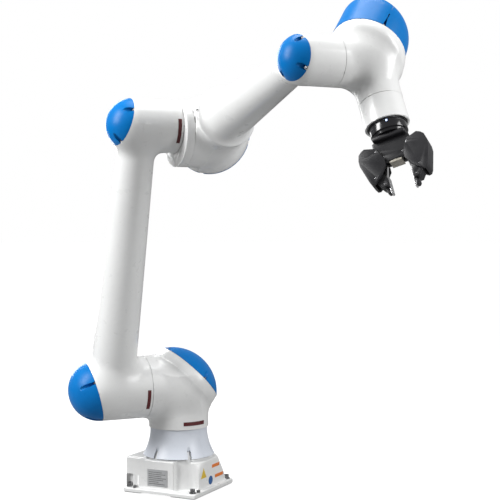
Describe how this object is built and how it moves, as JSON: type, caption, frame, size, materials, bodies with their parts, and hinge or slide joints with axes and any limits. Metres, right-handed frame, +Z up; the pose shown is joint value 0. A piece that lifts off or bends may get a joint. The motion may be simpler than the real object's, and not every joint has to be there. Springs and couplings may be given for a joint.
{
  "type": "robot arm",
  "caption": "Jointed collaborative robot arm on a square bolted base: offset round joint housings with domed blue caps, tapering tubes, and a parallel-linkage finger gripper.",
  "frame": {"origin": "centre of the square mounting face, on the plane it stands on", "axes": "+Z up along the first joint's axis, -Y out of the base face that carries the nameplate, +X out of the face to its right"},
  "size_m": [1.0287, 0.61, 1.1857],
  "materials": {
    "white_paint": "semi-gloss paint on cast aluminium",
    "neck_plastic": "satin moulded cover",
    "blue_plastic": "glossy moulded cap",
    "red_strip": "matt strip",
    "plate_metal": "satin plate",
    "screw_steel": "plain steel",
    "reducer_steel": "machined steel",
    "motor_iron": "dark machined steel",
    "flange_metal": "machined",
    "cable_rubber": "satin jacket",
    "connector_plastic": "satin shells",
    "lamp": "clear lens",
    "gripper_black": "satin black anodising",
    "palm_coat": "satin coat",
    "polished_steel": "polished"
  },
  "bodies": {
    "base": {"base_casting": "white_paint", "neck_cover_front": "neck_plastic", "neck_cover_rear": "neck_plastic", "connector_plate": "plate_metal", "panel_connectors": "connector_plastic", "nameplate": "plate_metal", "corner_bolts": "screw_steel", "s_reducer": "reducer_steel", "s_motor": "motor_iron"},
    "shoulder": {"shoulder_casting": "white_paint", "shoulder_cap": "blue_plastic", "shoulder_cap_screws": "screw_steel", "shoulder_stripe": "red_strip", "s_output": "flange_metal", "l_reducer": "reducer_steel", "l_motor": "motor_iron"},
    "lower_arm": {"lower_arm_casting": "white_paint", "l_end_cap": "blue_plastic", "u_end_cap": "blue_plastic", "lower_arm_cap_screws": "screw_steel", "lower_arm_stripes": "red_strip", "l_output": "flange_metal", "u_fixed_flange": "flange_metal", "lower_arm_harness": "cable_rubber"},
    "elbow": {"elbow_casting": "white_paint", "elbow_flange_ring": "white_paint", "elbow_cap": "blue_plastic", "elbow_screws": "screw_steel", "u_reducer": "reducer_steel", "u_motor": "motor_iron", "r_reducer": "reducer_steel", "r_motor": "motor_iron"},
    "forearm": {"forearm_casting": "white_paint", "b_end_cap": "blue_plastic", "forearm_cap_screws": "screw_steel", "r_output": "flange_metal", "b_fixed_flange": "flange_metal", "forearm_harness": "cable_rubber"},
    "wrist": {"wrist_casting": "white_paint", "wrist_hood": "blue_plastic", "wrist_hood_screws": "screw_steel", "b_reducer": "reducer_steel", "b_motor": "motor_iron", "t_reducer": "reducer_steel", "t_motor": "motor_iron"},
    "tool": {"t_cover": "white_paint", "tool_flange": "flange_metal", "status_light": "lamp", "gripper_adapter": "gripper_black", "gripper_body": "gripper_black", "palm_plate": "palm_coat", "gripper_pins": "screw_steel"},
    "left_knuckle_body": {"left_knuckle": "gripper_black"},
    "right_knuckle_body": {"right_knuckle": "gripper_black"},
    "left_link_body": {"left_link": "polished_steel"},
    "right_link_body": {"right_link": "polished_steel"},
    "left_finger_body": {"left_finger": "gripper_black", "left_pad": "polished_steel"},
    "right_finger_body": {"right_finger": "gripper_black", "right_pad": "polished_steel"}
  },
  "joints": [
    {"name": "s_axis", "type": "hinge", "parent": "base", "child": "shoulder", "pos_m": [0, 0, 0], "axis": [0, 0, 1], "range_deg": [-141.1, 218.9]},
    {"name": "l_axis", "type": "hinge", "parent": "shoulder", "child": "lower_arm", "pos_m": [0, 0, 0.275], "axis": [0.628, 0.7782, 0], "range_deg": [-173.7, 136.3]},
    {"name": "u_axis", "type": "hinge", "parent": "lower_arm", "child": "elbow", "pos_m": [0.17466, -0.14093, 0.93805], "axis": [0.628, 0.7782, 0], "range_deg": [-200, 80]},
    {"name": "r_axis", "type": "hinge", "parent": "elbow", "child": "forearm", "pos_m": [0.17466, -0.14093, 0.93805], "axis": [0.7629, -0.6156, 0.1977], "range_deg": [-180, 180]},
    {"name": "b_axis", "type": "hinge", "parent": "forearm", "child": "wrist", "pos_m": [0.5561, -0.44872, 1.03688], "axis": [0.628, 0.7782, 0], "range_deg": [-255.1, 104.9]},
    {"name": "t_axis", "type": "hinge", "parent": "wrist", "child": "tool", "pos_m": [0.65783, -0.32265, 1.03688], "axis": [0.3448, -0.2782, -0.8965], "range_deg": [-225, 135]},
    {"name": "left_knuckle_pivot", "type": "hinge", "parent": "tool", "child": "left_knuckle_body", "pos_m": [0.7, -0.38665, 0.83648], "axis": [0.0493, -0.9484, 0.3133], "range_deg": [0, 22]},
    {"name": "left_link_pivot", "type": "hinge", "parent": "tool", "child": "left_link_body", "pos_m": [0.71702, -0.38857, 0.828], "axis": [0.0493, -0.9484, 0.3133], "range_deg": [0, 22]},
    {"name": "left_finger_pivot", "type": "hinge", "parent": "left_knuckle_body", "child": "left_finger_body", "pos_m": [0.70619, -0.40437, 0.78189], "axis": [0.0493, -0.9484, 0.3133], "range_deg": [-22, 0]},
    {"name": "right_knuckle_pivot", "type": "hinge", "parent": "tool", "child": "right_knuckle_body", "pos_m": [0.76187, -0.37661, 0.85716], "axis": [0.0493, -0.9484, 0.3133], "range_deg": [-22, 0]},
    {"name": "right_link_pivot", "type": "hinge", "parent": "tool", "child": "right_link_body", "pos_m": [0.75451, -0.38248, 0.84054], "axis": [0.0493, -0.9484, 0.3133], "range_deg": [-22, 0]},
    {"name": "right_finger_pivot", "type": "hinge", "parent": "right_knuckle_body", "child": "right_finger_body", "pos_m": [0.7943, -0.39006, 0.81134], "axis": [0.0493, -0.9484, 0.3133], "range_deg": [0, 22]}
  ],
  "couplings": [
    {"joint": "right_knuckle_pivot", "follows": "left_knuckle_pivot", "ratio": -1},
    {"joint": "left_link_pivot", "follows": "left_knuckle_pivot", "ratio": 1},
    {"joint": "right_link_pivot", "follows": "left_knuckle_pivot", "ratio": -1},
    {"joint": "left_finger_pivot", "follows": "left_knuckle_pivot", "ratio": -1},
    {"joint": "right_finger_pivot", "follows": "left_knuckle_pivot", "ratio": 1}
  ]
}
